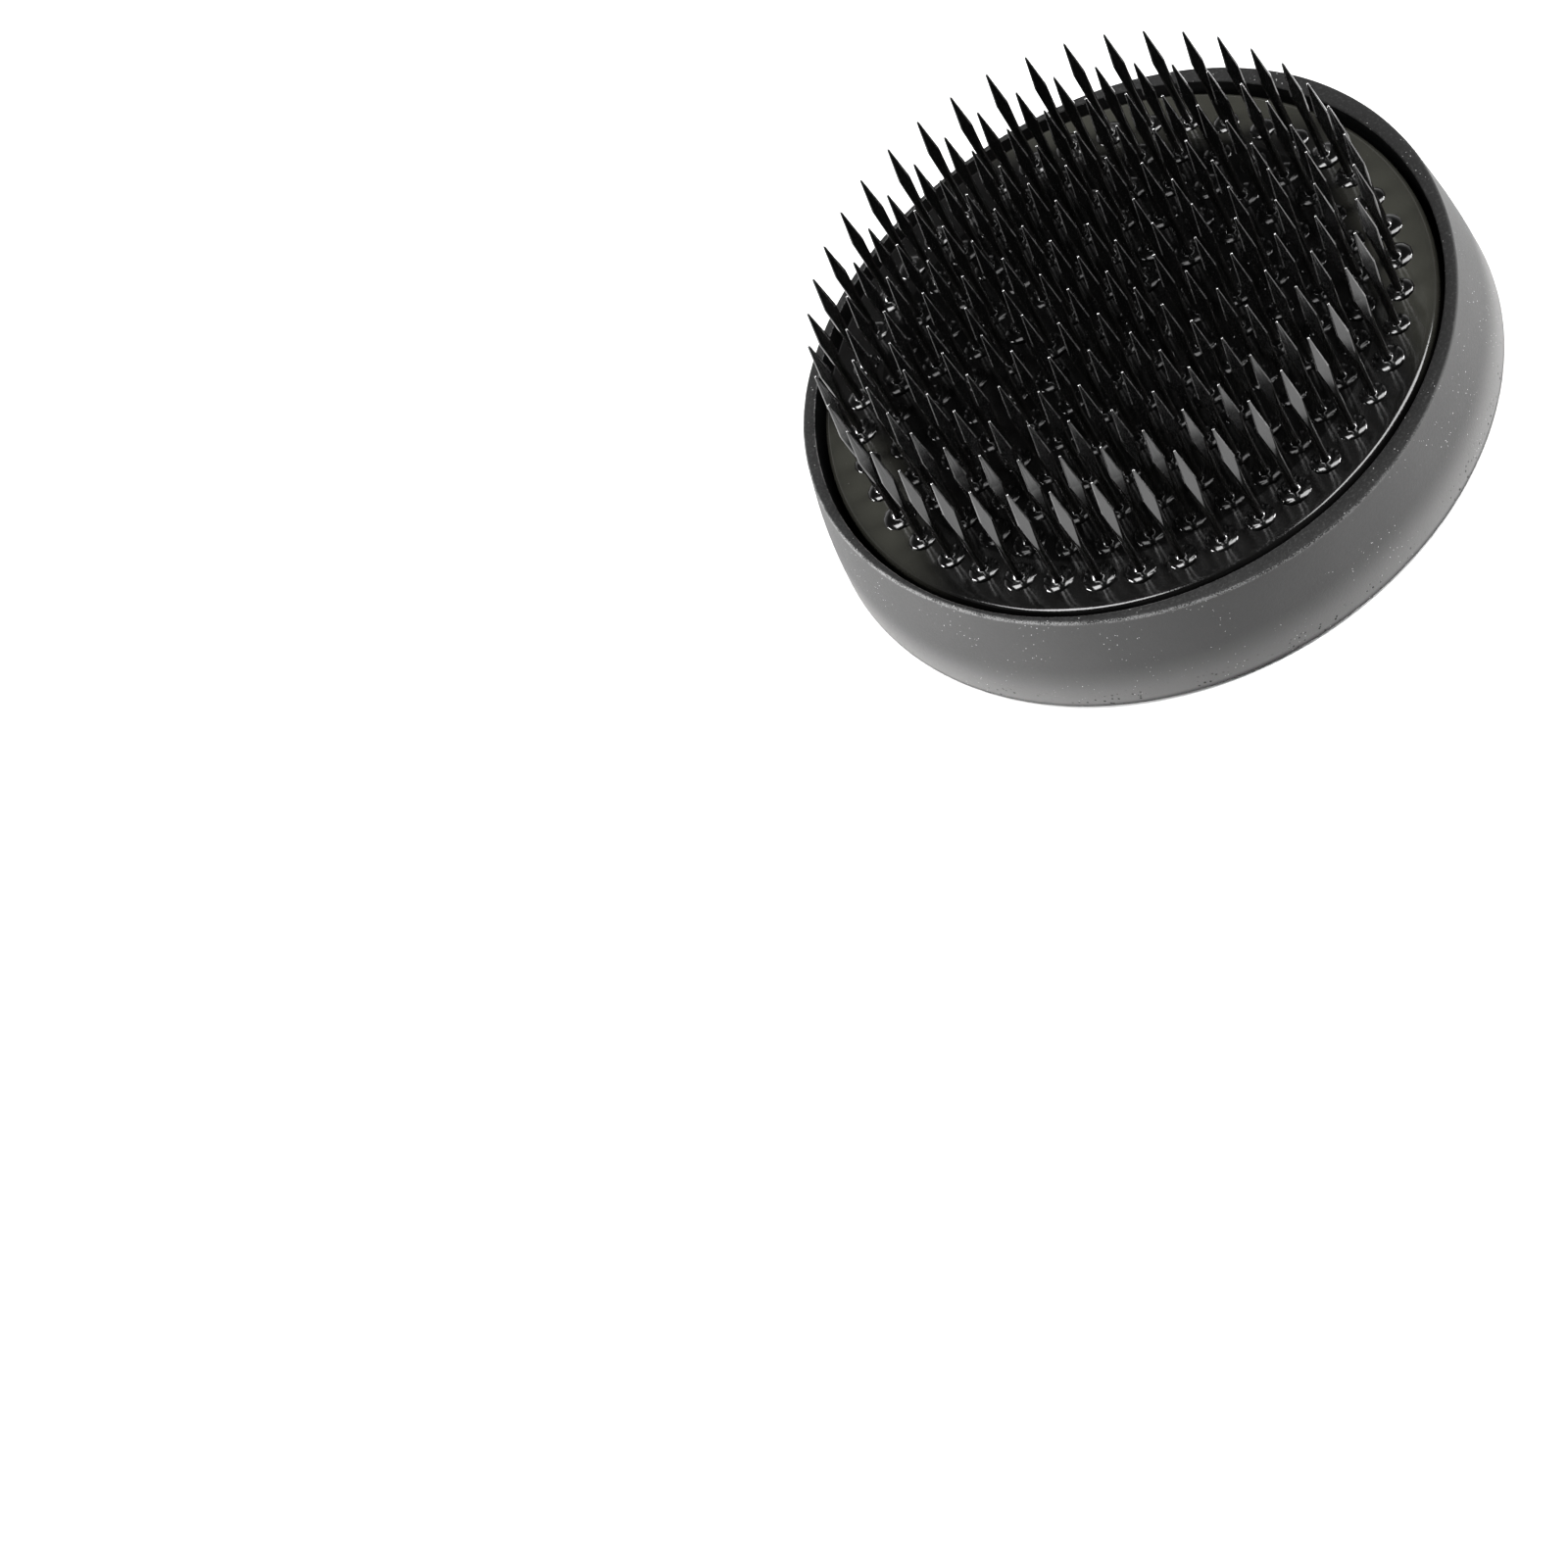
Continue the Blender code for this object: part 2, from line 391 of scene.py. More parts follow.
def worn_rubber():
    """Grey rubber: a pale grey wall made lighter towards the foot with painted light and darker at
    the very bottom with painted shade, a rim painted darker as shade, specks of dust, and pits
    painted dark as shade.
    """
    rubber = Surface("worn_rubber")
    height = (rubber.z - RING_LOW.z) / (RIM_TOP - RING_LOW.z)
    cloud = rubber.noise(RUBBER_CLOUD_SIZE, detail=4.0)
    fine = rubber.noise(RUBBER_GRAIN_SIZE, detail=3.0, roughness=0.7)

    # The rim is painted darker than the wall, as shade on its top, and its outer edge is scuffed
    # pale, mostly at the left.
    wall = height.below(*WALL_TOP)
    small_scuffs = rubber.noise(SCUFF_SIZE, detail=2.0, roughness=0.7)
    scuff = small_scuffs * 0.75 + rubber.noise(SCUFF_PATCH_SIZE, detail=2.0) * 0.25
    scuffed_side = (rubber.x * -0.9 - rubber.y * 0.45).above(*SCUFFED_SIDE)
    edge = height.above(*SCUFF_FROM) * height.below(*SCUFF_TO)
    edge_wear = edge * scuff.above(*SCUFF_EDGE) * scuffed_side
    wall_tone = rubber.mix(cloud, grey(0.036), grey(0.049, 0.01))
    # Painted light: the wall lighter towards its foot, standing in for light thrown up from the
    # floor.
    wall_tone = rubber.mix(height.below(*PAINTED_FLOOR_LIGHT), wall_tone, grey(0.118, 0.01))
    # Painted shade: the very bottom, where the foot rounds under, is darker.
    wall_tone = rubber.mix(height.below(*PAINTED_FOOT_SHADE), wall_tone, grey(0.012))
    # The rim's dark grey is painted shade; the lighter specks on it are the rubber's grain.
    shaded_rim = rubber.mix(cloud, grey(0.003), grey(0.006))
    shaded_rim = rubber.mix(fine.above(*RUBBER_SPECKLE), shaded_rim, grey(0.016))
    colour = rubber.mix(wall, shaded_rim, wall_tone)
    colour = rubber.mix(edge_wear * 0.45, colour, grey(0.28))

    # Specks of dust, in patches.
    specks = rubber.cells(DUST_SPACING).below(*DUST_EDGE)
    dust = specks * rubber.noise(DUST_PATCH_SIZE).above(*DUST_PATCHES)
    colour = rubber.mix(dust, colour, grey(0.60))

    # Pits in a band near the foot, in patches, painted dark as shade in their hollows.
    pit_band = height.below(*PIT_BAND) * rubber.noise(PIT_PATCH_SIZE).above(*PIT_PATCHES)
    pits = rubber.cells(PIT_SPACING).below(*PIT_EDGE) * pit_band
    colour = rubber.mix(pits * 0.90, colour, grey(0.014))

    grain = rubber.bump(fine, RUBBER_GRAIN_DEPTH)
    return rubber.finish({
        "Base Color": colour,
        "Roughness": 0.52 + fine * 0.22,
        "IOR": 1.3,
        "Normal": rubber.bump(1 - pits, PIT_DEPTH, below=grain),
    })


BORE_PATCH_SIZE = 0.5 * MM


def bore_rubber():
    """The inside of the rubber ring, painted as shade: black, with almost no sheen."""
    rubber = Surface("bore_rubber")
    return rubber.finish({
        "Base Color": grey(0.0015),
        "Roughness": 0.60 + rubber.noise(BORE_PATCH_SIZE) * 0.3,
        "IOR": 1.15,
    })


LEAD_CLOUD_SIZE = 5.0 * MM
LEAD_GRAIN_SIZE = 0.5 * MM
LEAD_GRAIN_DEPTH = 0.03 * MM


def lead_underside():
    """Bare cast lead under the base: dull, blotched grey."""
    lead = Surface("cast_lead")
    cloud = lead.noise(LEAD_CLOUD_SIZE, detail=4.0)
    grain = lead.noise(LEAD_GRAIN_SIZE, detail=3.0)
    return lead.finish({
        "Base Color": lead.mix(cloud, grey(0.16), grey(0.27, 0.02)),
        "Metallic": 0.9,
        "Roughness": 0.42 + grain * 0.25,
        "Normal": lead.bump(grain, LEAD_GRAIN_DEPTH),
    })


PAPER_TONE_SIZE = 0.12


def floor_paper():
    """Plain pale paper."""
    paper = Surface("floor_paper")
    tone = paper.noise(PAPER_TONE_SIZE, detail=2.0)
    return paper.finish({
        "Base Color": paper.mix(tone, grey(0.86), grey(0.89)),
        "Roughness": 0.9,
    })


# ---------------------------------------------------------------- mesh building

def new_piece(name, bm, materials):
    bmesh.ops.recalc_face_normals(bm, faces=bm.faces)
    mesh = bpy.data.meshes.new(name)
    bm.to_mesh(mesh)
    bm.free()
    for surface in materials:
        mesh.materials.append(surface)
    piece = bpy.data.objects.new(name, mesh)
    bpy.context.collection.objects.link(piece)
    return piece


def loft(bm, loops, closed=False):
    """Faces between loops of vertices, with a cap on each end unless the loops are closed."""
    faces = []
    following = loops[1:] + loops[:1] if closed else loops[1:]
    for lower, upper in zip(loops, following):
        faces.extend(loft_band(bm, lower, upper))
    if not closed:
        faces.append(bm.faces.new(loops[0]))
        faces.append(bm.faces.new(loops[-1]))
    return faces


def loft_band(bm, lower, upper):
    """The ring of faces between two loops."""
    faces = []
    for i in range(len(lower)):
        j = (i + 1) % len(lower)
        faces.append(bm.faces.new((lower[i], lower[j], upper[j], upper[i])))
    return faces


def circle(bm, radius, z, sides):
    angles = (2 * math.pi * i / sides for i in range(sides))
    return [bm.verts.new((radius * math.cos(a), radius * math.sin(a), z)) for a in angles]


def arc(centre, radius, start, end, steps):
    """Points (r, z) of a round corner, from one angle to another in degrees."""
    angles = (math.radians(start + (end - start) * i / steps) for i in range(steps + 1))
    r, z = centre
    return [(r + radius * math.cos(a), z + radius * math.sin(a)) for a in angles]


# ---------------------------------------------------------------- needles

SHAFT_RADIUS = 0.475 * MM
TIP_RADIUS = 0.13 * MM
POINT_HALF_WIDTH = 0.63 * MM
POINT_FLAT_HALF_WIDTH = 0.50 * MM
POINT_HALF_THICKNESS = 0.28 * MM
POINT_SIDE_HALF_THICKNESS = 0.15 * MM
POINT_LENGTH = 4.6 * MM
FACET_LENGTH = 8.7 * MM
SIDE_POINTS = 4
SIDE_SPREAD = 66
# Radius and depth of the rounded tip's sections, as shares of the tip's radius.
TIP_PROFILE = [(1.0, 1.0), (0.85, 0.4), (0.4, 0.0)]
# The second finish is painted highlight on the bevels.
FINISHES = ("Enamel", "Painted highlight edge", "Pinched flat")
ENAMEL, PAINTED_HIGHLIGHT_EDGE, FLAT = range(3)
FINISH_MARK = "finish"
NEEDLE_LEAN = math.radians(0.45)
NEEDLE_TWIST = math.radians(2.5)
NEEDLE_SEED = 11
HEAD_THICKNESS = 0.7 * MM
HEAD_PROUD = 0.12 * MM


def blade_section(bm, depth):
    """Points round the widest part: a side, the middle of a flat, the other side and flat."""
    z = NEEDLE_TIP - BASE_TOP - depth
    side_points = [
        (POINT_FLAT_HALF_WIDTH, -POINT_HALF_THICKNESS),
        (POINT_HALF_WIDTH, -POINT_SIDE_HALF_THICKNESS),
        (POINT_HALF_WIDTH, POINT_SIDE_HALF_THICKNESS),
        (POINT_FLAT_HALF_WIDTH, POINT_HALF_THICKNESS),
    ]
    loop = []
    for side in (1, -1):
        loop.extend(bm.verts.new((side * x, side * y, z)) for x, y in side_points)
        loop.append(bm.verts.new((0.0, side * POINT_HALF_THICKNESS, z)))
    return loop


def round_section(bm, radius, depth):
    """A round section with its points in the same order. Each side spreads over some degrees."""
    z = NEEDLE_TIP - BASE_TOP - depth
    loop = []
    for middle in (0, 180):
        start = middle - SIDE_SPREAD
        degrees = [start + 2 * SIDE_SPREAD * i / (SIDE_POINTS - 1) for i in range(SIDE_POINTS)]
        for angle in map(math.radians, degrees + [middle + 90]):
            loop.append(bm.verts.new((radius * math.cos(angle), radius * math.sin(angle), z)))
    return loop


def add_flats(bm, lower, upper, finish, is_run_out):
    """Joins two sections of the point. Where a flat runs out on the round shaft, it ends in a V."""
    middles = (SIDE_POINTS, 2 * SIDE_POINTS + 1)
    for i in range(len(lower)):
        j = (i + 1) % len(lower)
        if i not in middles and j not in middles:
            face = bm.faces.new((lower[i], lower[j], upper[j], upper[i]))
            face.smooth = is_run_out
            # Of a side's three faces, the middle one is enamelled like the shaft; the two bevels
            # carry the painted highlight.
            is_bevel = i % (SIDE_POINTS + 1) != 1
            face[finish] = PAINTED_HIGHLIGHT_EDGE if is_bevel and not is_run_out else ENAMEL
        elif not is_run_out:
            bm.faces.new((lower[i], lower[j], upper[j], upper[i]))[finish] = FLAT
        else:
            middle, corner = (i, j) if i in middles else (j, i)
            bm.faces.new((lower[middle], upper[middle], upper[corner]))[finish] = FLAT
            bm.faces.new((lower[middle], upper[corner], lower[corner])).smooth = True


def needle_blank():
    """One needle standing on the origin, at the top of the base, with its shank and head below."""
    stand = NEEDLE_TIP - BASE_TOP
    shank = BASE_TOP - BASE_BOTTOM + HEAD_PROUD
    shaft_profile = [
        (HEAD_RADIUS, stand + shank),
        (HEAD_RADIUS, stand + shank - HEAD_THICKNESS),
        (SHAFT_RADIUS, stand + shank - HEAD_THICKNESS),
        (SHAFT_RADIUS, FACET_LENGTH),
    ]
    bm = bmesh.new()
    finish = bm.faces.layers.int.new(FINISH_MARK)
    shaft = [round_section(bm, radius, depth) for radius, depth in shaft_profile]
    blade = blade_section(bm, POINT_LENGTH)
    tip = [round_section(bm, TIP_RADIUS * r, TIP_RADIUS * depth) for r, depth in TIP_PROFILE]
    for lower, upper in list(zip(shaft, shaft[1:])) + list(zip(tip, tip[1:])):
        for face in loft_band(bm, lower, upper):
            face.smooth = True
    add_flats(bm, shaft[-1], blade, finish, is_run_out=True)
    add_flats(bm, blade, tip[0], finish, is_run_out=False)
    bm.faces.new(shaft[0])
    bm.faces.new(tip[-1])
    return new_piece("needle_blank", bm, [])


class Rows(Tree):
    """A Geometry Nodes tree that stands copies of one object on a circle."""

    def __init__(self, name):
        super().__init__(bpy.data.node_groups.new(name, "GeometryNodeTree"))
        self.sockets = {}
        for label, kind in (
            ("Blank", "NodeSocketObject"),
            ("Count", "NodeSocketInt"),
            ("First number", "NodeSocketInt"),
            ("Row radius", "NodeSocketFloat"),
            ("Spacing", "NodeSocketFloat"),
            ("Height", "NodeSocketFloat"),
            ("Lean", "NodeSocketFloat"),
            ("Twist", "NodeSocketFloat"),
            ("Size spread", "NodeSocketFloat"),
            ("Seed", "NodeSocketInt"),
            *((finish, "NodeSocketMaterial") for finish in FINISHES),
        ):
            socket = self.tree.interface.new_socket(label, in_out="INPUT", socket_type=kind)
            self.sockets[label] = socket.identifier
        self.tree.interface.new_socket(
            "Geometry", in_out="OUTPUT", socket_type="NodeSocketGeometry"
        )
        self.build()

    def build(self):
        given = self.add("NodeGroupInput")
        number = self.add("GeometryNodeInputIndex")["Index"] + given["First number"]
        angle = number * given["Spacing"]
        place = self.add("ShaderNodeCombineXYZ", sockets={
            "X": given["Row radius"] * angle.cosine(),
            "Y": given["Row radius"] * angle.sine(),
            "Z": given["Height"],
        })
        points = self.add("GeometryNodePoints", sockets={
            "Count": given["Count"], "Position": place["Vector"],
        })
        turn_limit = self.add("ShaderNodeCombineXYZ", sockets={
            "X": given["Lean"], "Y": given["Lean"], "Z": given["Twist"],
        })["Vector"]
        turn = self.spread("FLOAT_VECTOR", turn_limit, number, given["Seed"])
        size = 1 + self.spread("FLOAT", given["Size spread"], number, given["Seed"] + 1)
        blank = self.add(
            "GeometryNodeObjectInfo", {"transform_space": "ORIGINAL"}, {"Object": given["Blank"]}
        )
        standing = self.add("GeometryNodeInstanceOnPoints", sockets={
            "Points": points["Points"],
            "Instance": blank["Geometry"],
            "Rotation": turn,
            "Scale": size,
        })
        painted = self.add(
            "GeometryNodeRealizeInstances", sockets={"Geometry": standing["Instances"]}
        )["Geometry"]
        marks = self.add(
            "GeometryNodeInputNamedAttribute", {"data_type": "INT"}, {"Name": FINISH_MARK}
        )
        mark = Link(self, next(output for output in marks.node.outputs if output.enabled))
        for value, finish in enumerate(FINISHES):
            painted = self.add("GeometryNodeSetMaterial", sockets={
                "Geometry": painted,
                "Selection": mark.matches(value),
                "Material": given[finish],
            })["Geometry"]
        self.add("NodeGroupOutput", sockets={"Geometry": painted})

    def spread(self, data_type, limit, number, seed):
        """A random value or vector between minus and plus the limit, one for each number."""
        is_vector = data_type == "FLOAT_VECTOR"
        low, high, result = RANDOM_VECTOR if is_vector else RANDOM_FLOAT
        if is_vector:
            sockets = {"Vector": limit, "Scale": -1.0}
            opposite = self.add("ShaderNodeVectorMath", {"operation": "SCALE"}, sockets)["Vector"]
        else:
            opposite = limit * -1.0
        made = self.add("FunctionNodeRandomValue", {"data_type": data_type}, {
            low: opposite, high: limit, "ID": number, "Seed": seed,
        })
        return Link(self, made.node.outputs[result])

    def make(self, name, values):
        """A plain mesh object from the tree with these input values."""
        holder = bpy.data.objects.new(name + "_points", bpy.data.meshes.new(name + "_points"))
        bpy.context.collection.objects.link(holder)
        rows = holder.modifiers.new("rows", "NODES")
        rows.node_group = self.tree
        for label, value in values.items():
            rows[self.sockets[label]] = value
        graph = bpy.context.evaluated_depsgraph_get()
        mesh = bpy.data.meshes.new_from_object(holder.evaluated_get(graph), depsgraph=graph)
        mesh.name = name
        bpy.data.objects.remove(holder, do_unlink=True)
        piece = bpy.data.objects.new(name, mesh)
        bpy.context.collection.objects.link(piece)
        return piece


def row_values(row, blank, surfaces):
    """The tree's input values for one row of needles."""
    count = max(1, NEEDLES_PER_STEP * row)
    return {
        "Blank": blank,
        "Count": count,
        "First number": 0,
        "Row radius": row * NEEDLE_PITCH,
        "Spacing": 2 * math.pi / count,
        "Height": BASE_TOP,
        "Lean": NEEDLE_LEAN,
        "Twist": NEEDLE_TWIST,
        "Size spread": 0.0,
        "Seed": NEEDLE_SEED + row,
        **dict(zip(FINISHES, surfaces)),
    }


def make_needles(rows, surfaces):
    """One piece for each needle node of the frame."""
    blank = needle_blank()
    for row in range(ROWS + 1):
        values = row_values(row, blank, surfaces)
        if row in SINGLE_ROWS:
            numbers = range(values["Count"])
            named = [(f"{SINGLE_ROWS[row]}_{i + 1:02d}", i) for i in numbers]
            values["Count"] = 1
        else:
            named = [("needle_centre" if row == 0 else f"needle_ring_{row}", 0)]
        for node, number in named:
            values["First number"] = number
            piece = rows.make(node + "_enamelled", values)
            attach(piece, "needle_block")
            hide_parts(node)
    bpy.data.objects.remove(blank, do_unlink=True)


# ---------------------------------------------------------------- base

# Radius and height of a collar's sections, from its skirt to the shaft.
COLLAR_PROFILE = [
    (1.68 * MM, -0.06 * MM),
    (1.46 * MM, 0.10 * MM),
    (1.20 * MM, 0.23 * MM),
    (0.90 * MM, 0.30 * MM),
    (0.68 * MM, 0.31 * MM),
    (0.56 * MM, 0.38 * MM),
    (0.44 * MM, 0.75 * MM),
]
COLLAR_SIDES = 12
COLLAR_SEED = 5
COLLAR_LEAN = math.radians(3)
COLLAR_SIZE_SPREAD = 0.14
BASE_EDGE_ROUND = 0.7 * MM
BASE_EDGE_STEPS = 8
NECK_HEIGHT = 4.0 * MM
NECK_STEP = 0.5 * MM
BASE_FOOT_BEVEL = 0.4 * MM
BASE_SEGMENTS = 252
TOP_RINGS = 64
MARGIN_LOW = 26.0 * MM
MARGIN_IOR = 1.5
# The lower index inside the needle field is painted shade: a duller copy of the lacquer for the
# plate and collars among the needles.
SHADED_INNER_IOR = 1.22
FILM_WAVE = 0.022 * MM
FILM_WAVE_SIZE = 3.2 * MM
FINE_WAVE_SHARE = 0.5
FINE_WAVE_RATIO = 2.3
TOP_TOLERANCE = 0.05 * MM
MARGIN, SHADED_INNER, UNDERSIDE = range(3)


def lacquer_collar():
    """The lacquer that creeps up a needle's foot: a low mound, and a fillet on the shaft."""
    bm = bmesh.new()
    loft(bm, [circle(bm, radius, z, COLLAR_SIDES) for radius, z in COLLAR_PROFILE])
    for face in bm.faces:
        face.smooth = True
    return new_piece("collar_blank", bm, [])


def film_height(x, y):
    """How far the flooded lacquer stands above or below the flat of the base."""
    place = Vector((x, y, 0.0)) / FILM_WAVE_SIZE
    return FILM_WAVE * (
        noise.noise(place) + FINE_WAVE_SHARE * noise.noise(place * FINE_WAVE_RATIO)
    )


def make_base(rows, lead):
    """The lacquered casting: an uneven top with a round edge, and a bare flat underside."""
    neck_radius = BASE_RADIUS - NECK_STEP
    top_radius = neck_radius - BASE_EDGE_ROUND
    shoulder = BASE_TOP - NECK_HEIGHT
    foot = [
        (BASE_RADIUS - BASE_FOOT_BEVEL, BASE_BOTTOM),
        (BASE_RADIUS, BASE_BOTTOM + BASE_FOOT_BEVEL),
        (BASE_RADIUS, shoulder - NECK_STEP),
        (neck_radius, shoulder),
    ]
    edge_centre = (top_radius, BASE_TOP - BASE_EDGE_ROUND)
    edge = arc(edge_centre, BASE_EDGE_ROUND, 0, 90, BASE_EDGE_STEPS)
    inner_radii = [top_radius * (1 - i / TOP_RINGS) for i in range(1, TOP_RINGS)]
    top = [(radius, BASE_TOP) for radius in inner_radii]
    bm = bmesh.new()
    faces = loft(bm, [circle(bm, r, z, BASE_SEGMENTS) for r, z in foot + edge + top])
    for vertex in bm.verts:
        if vertex.co.z > BASE_TOP - TOP_TOLERANCE:
            vertex.co.z += film_height(vertex.co.x, vertex.co.y)
    for face in faces:
        face.smooth = True
        centre = face.calc_center_median()
        # Top faces inside the needle field take the painted-shade copy of the lacquer.
        is_shaded_inner = centre.z > shoulder and math.hypot(centre.x, centre.y) < MARGIN_LOW
        face.material_index = SHADED_INNER if is_shaded_inner else MARGIN
    underside = min(faces, key=lambda face: face.calc_center_median().z)
    underside.material_index = UNDERSIDE
    underside.smooth = False
    surfaces = [
        base_lacquer("margin_lacquer", MARGIN_IOR),
        base_lacquer("inner_lacquer", SHADED_INNER_IOR),
        lead,
    ]
    base = new_piece("needle_base_lacquered", bm, surfaces)
    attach(base, "needle_block")
    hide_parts("needle_base")

    blank = lacquer_collar()
    margin_lacquer = collar_lacquer("margin_collar_lacquer", MARGIN_IOR)
    inner_lacquer = collar_lacquer("inner_collar_lacquer", SHADED_INNER_IOR)
    for row in range(ROWS + 1):
        # All rows but the outer one take the painted-shade copy of the collar lacquer.
        values = row_values(row, blank, [margin_lacquer if row == ROWS else inner_lacquer])
        values.update({
            "Lean": COLLAR_LEAN,
            "Twist": math.pi,
            "Size spread": COLLAR_SIZE_SPREAD,
            "Seed": COLLAR_SEED + row,
        })
        collars = rows.make(f"lacquer_collars_{row}", values)
        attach(collars, "needle_block")
    bpy.data.objects.remove(blank, do_unlink=True)


# ---------------------------------------------------------------- rubber ring

BORE_RADIUS = BASE_RADIUS + 0.3 * MM
RIM_WIDTH = 1.3 * MM
WALL_FLARE = 1.5 * MM
WALL_BELLY = 0.25 * MM
LEDGE_WIDTH = 2.8 * MM
LEDGE_THICKNESS = 1.5 * MM
RIM_ROUND = 0.30 * MM
FOOT_ROUND = 0.5 * MM
INNER_ROUND = 0.15 * MM
FOOT_STEPS = 8
RIM_STEPS = 5
INNER_STEPS = 3
RING_SEGMENTS = 288
WALL_RINGS = 16
LIP_SHIFT = 0.55 * MM
LIP_SHIFT_ANGLE = math.radians(-16)
LIP_WAVE = 0.55 * MM
LIP_WAVES = 3
LIP_WAVE_ANGLE = math.radians(-70)
LIP_NOISE = 0.05 * MM
LIP_NOISE_SIZE = 7.0 * MM
# How much of the lip's shift and waves the inner edge follows.
INNER_SHARE = 0.1
WORN, SHADED_BORE = range(2)


def ring_profile():
    """Points (r, z) once round the section: up the wall, over the rim and down the bore."""
    rim_radius = BORE_RADIUS + RIM_WIDTH
    wall_top = RIM_TOP - RIM_ROUND
    wall = []
    for i in range(WALL_RINGS + 1):
        t = i / WALL_RINGS
        radius = FOOT_RADIUS - WALL_FLARE * t + WALL_BELLY * math.sin(math.pi * t)
        wall.append((radius, FOOT_ROUND + (wall_top - FOOT_ROUND) * t))
    foot = arc((FOOT_RADIUS - FOOT_ROUND, FOOT_ROUND), FOOT_ROUND, -90, 0, FOOT_STEPS)
    rim = arc((rim_radius - RIM_ROUND, wall_top), RIM_ROUND, 0, 90, RIM_STEPS)
    inner_centre = (BORE_RADIUS + INNER_ROUND, RIM_TOP - INNER_ROUND)
    inner = arc(inner_centre, INNER_ROUND, 90, 180, INNER_STEPS)
    ledge_radius = BASE_RADIUS - LEDGE_WIDTH
    inside = [
        (BORE_RADIUS, LEDGE_THICKNESS),
        (ledge_radius, LEDGE_THICKNESS),
        (ledge_radius, 0.0),
    ]
    return foot + wall[1:] + rim[1:] + inner + inside


def make_ring(worn, bore):
    """The rubber ring. Its lip leans to one side and is out of round, least at the bore."""
    bm = bmesh.new()
    loops = [circle(bm, r, z, RING_SEGMENTS) for r, z in ring_profile()]
    faces = loft(bm, loops, closed=True)
    shift = Vector((math.cos(LIP_SHIFT_ANGLE), math.sin(LIP_SHIFT_ANGLE), 0.0)) * LIP_SHIFT
    for vertex in bm.verts:
        rise = (vertex.co.z - LEDGE_THICKNESS) / (RIM_TOP - LEDGE_THICKNESS)
        rise = max(0.0, min(1.0, rise))
        outward = Vector((vertex.co.x, vertex.co.y, 0.0)).normalized()
        angle = math.atan2(vertex.co.y, vertex.co.x)
        waver = LIP_WAVE * math.cos(LIP_WAVES * (angle - LIP_WAVE_ANGLE))
        waver += noise.noise(vertex.co / LIP_NOISE_SIZE) * LIP_NOISE
        is_inside = math.hypot(vertex.co.x, vertex.co.y) < BORE_RADIUS + RIM_WIDTH / 2
        share = INNER_SHARE if is_inside else 1.0
        vertex.co += share * rise * rise * (shift + outward * waver)
    for face in faces:
        face.smooth = True
        centre = face.calc_center_median()
        # Faces down in the bore take the black rubber that is painted shade.
        is_shaded_bore = math.hypot(centre.x, centre.y) < BORE_RADIUS + INNER_ROUND
        is_shaded_bore = is_shaded_bore and centre.z < RIM_TOP - INNER_ROUND
        face.material_index = SHADED_BORE if is_shaded_bore else WORN
    ring = new_piece("rubber_ring_worn", bm, [worn, bore])
    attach(ring, "ring")
    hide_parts("rubber_ring")


# ---------------------------------------------------------------- floor, lights and camera

FLOOR_SIZE = 6.0
FLOOR_DROP = 0.05 * MM


def make_floor(surface):
    bpy.ops.mesh.primitive_plane_add(size=FLOOR_SIZE, location=(0, 0, -FLOOR_DROP))
    floor = bpy.context.object
    floor.name = "floor"
    floor.data.materials.append(surface)


def softbox(name, place, aim, width, height, power):
    data = bpy.data.lights.new(name, "AREA")
    data.shape = "RECTANGLE"
    data.size = width
    data.size_y = height
    data.energy = power
    lamp = bpy.data.objects.new(name, data)
    bpy.context.collection.objects.link(lamp)
    lamp.location = place
    lamp.rotation_euler = (Vector(aim) - Vector(place)).to_track_quat("-Z", "Y").to_euler()


DARK_SIDE = math.radians(-88)
DARK_SIDE_EDGE = (0.35, 0.35)
DARK_SIDE_DEPTH = 0.92
# Brightness from the horizon, at 0, to straight overhead, at 1.
TENT_LEVELS = [(0.0, 2.3), (0.25, 1.1), (0.55, 0.13), (1.0, 0.08)]


def make_world():
    """A white tent: bright at the horizon, dim overhead and on the camera's side."""
    world = bpy.data.worlds.new("white_tent")
    bpy.context.scene.world = world
    world.use_nodes = True
    tent = Tree(world.node_tree)
    world.node_tree.nodes.clear()
    facing = tent.add("ShaderNodeTexCoord")["Generated"]
    axes = tent.add("ShaderNodeSeparateXYZ", sockets={"Vector": facing})
    stops = [(height, grey(value)) for height, value in TENT_LEVELS]
    level = tent.add("ShaderNodeValToRGB", {"stops": stops}, {"Fac": axes["Z"]})
    front = axes["X"] * math.cos(DARK_SIDE) + axes["Y"] * math.sin(DARK_SIDE)
    strength = 1 - front.above(*DARK_SIDE_EDGE) * DARK_SIDE_DEPTH
    back = tent.add("ShaderNodeBackground", sockets={
        "Color": level["Color"], "Strength": strength,
    })
    output = tent.add("ShaderNodeOutputWorld")
    tent.tree.links.new(back["Background"].socket, output.node.inputs["Surface"])


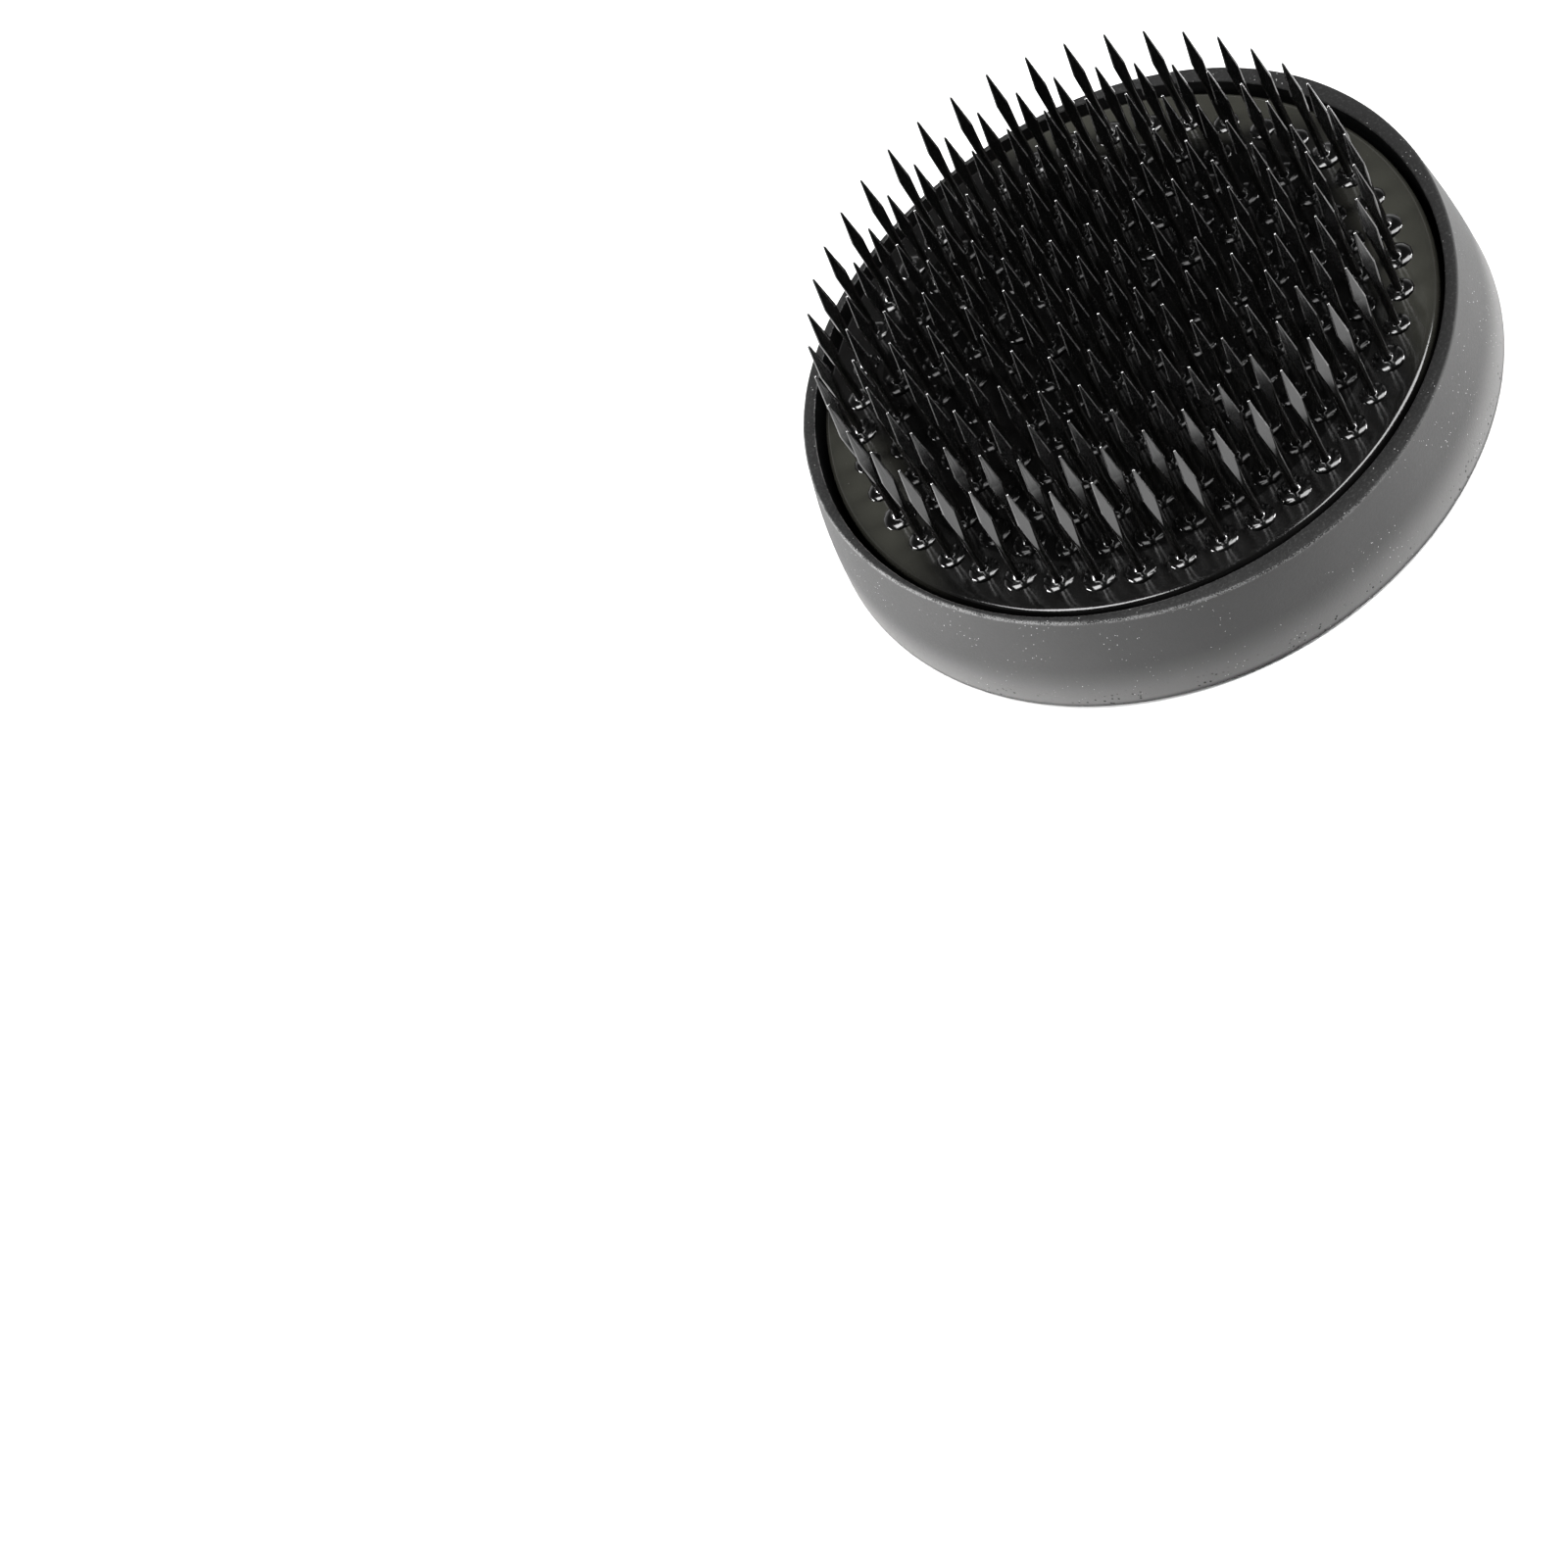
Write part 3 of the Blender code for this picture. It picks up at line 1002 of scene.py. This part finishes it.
CAMERA_DISTANCE = 0.5234
CAMERA_AZIMUTH = math.radians(-84.39)
CAMERA_ELEVATION = math.radians(46.32)
AIM_AZIMUTH = math.radians(103.93)
AIM_ELEVATION = math.radians(-49.458)
CAMERA_ROLL = math.radians(-34.72)
CAMERA_LENS_MM = 123.65
CAMERA_SENSOR_MM = 36.0
CAMERA_CLIP_START = 0.01


def direction(azimuth, elevation):
    flat = math.cos(elevation)
    return Vector((flat * math.cos(azimuth), flat * math.sin(azimuth), math.sin(elevation)))


def make_camera():
    """Looks down on the needles from the front, turned so that they lean to the upper left."""
    data = bpy.data.cameras.new("camera")
    data.lens = CAMERA_LENS_MM
    data.sensor_width = CAMERA_SENSOR_MM
    data.clip_start = CAMERA_CLIP_START
    camera = bpy.data.objects.new("camera", data)
    bpy.context.collection.objects.link(camera)
    target = Vector((0.0, 0.0, NEEDLE_TIP))
    forward = direction(AIM_AZIMUTH, AIM_ELEVATION)
    level_right = forward.cross(Vector((0, 0, 1))).normalized()
    level_up = level_right.cross(forward)
    right = level_right * math.cos(CAMERA_ROLL) + level_up * math.sin(CAMERA_ROLL)
    up = right.cross(forward)
    place = target + direction(CAMERA_AZIMUTH, CAMERA_ELEVATION) * CAMERA_DISTANCE
    axes = Matrix((right, up, -forward)).transposed().to_4x4()
    camera.matrix_world = Matrix.Translation(place) @ axes
    bpy.context.scene.camera = camera


LAMP_AIM = (0.0, 0.0, 0.01)
# Name, azimuth and elevation in degrees, width, height and power.
LAMPS = [
    ("left_low", 178, 14, 0.40, 0.25, 22.0),
    ("right_low", 3, 14, 0.40, 0.25, 19.0),
    ("left_softbox", 180, 68, 0.35, 0.42, 7.8),
    ("right_softbox", 5, 56, 0.35, 0.90, 13.0),
]


def make_lights():
    for name, azimuth, elevation, width, height, power in LAMPS:
        place = direction(math.radians(azimuth), math.radians(elevation))
        softbox(name, place, LAMP_AIM, width, height, power)


# ---------------------------------------------------------------- build

make_camera()
make_world()
make_lights()
make_floor(floor_paper())

standing_rows = Rows("needle_rows")
make_needles(standing_rows, [needle_enamel(), rubbed_edge(), pinched_flat()])
make_base(standing_rows, lead_underside())
make_ring(worn_rubber(), bore_rubber())

bpy.context.scene.view_settings.view_transform = "Standard"
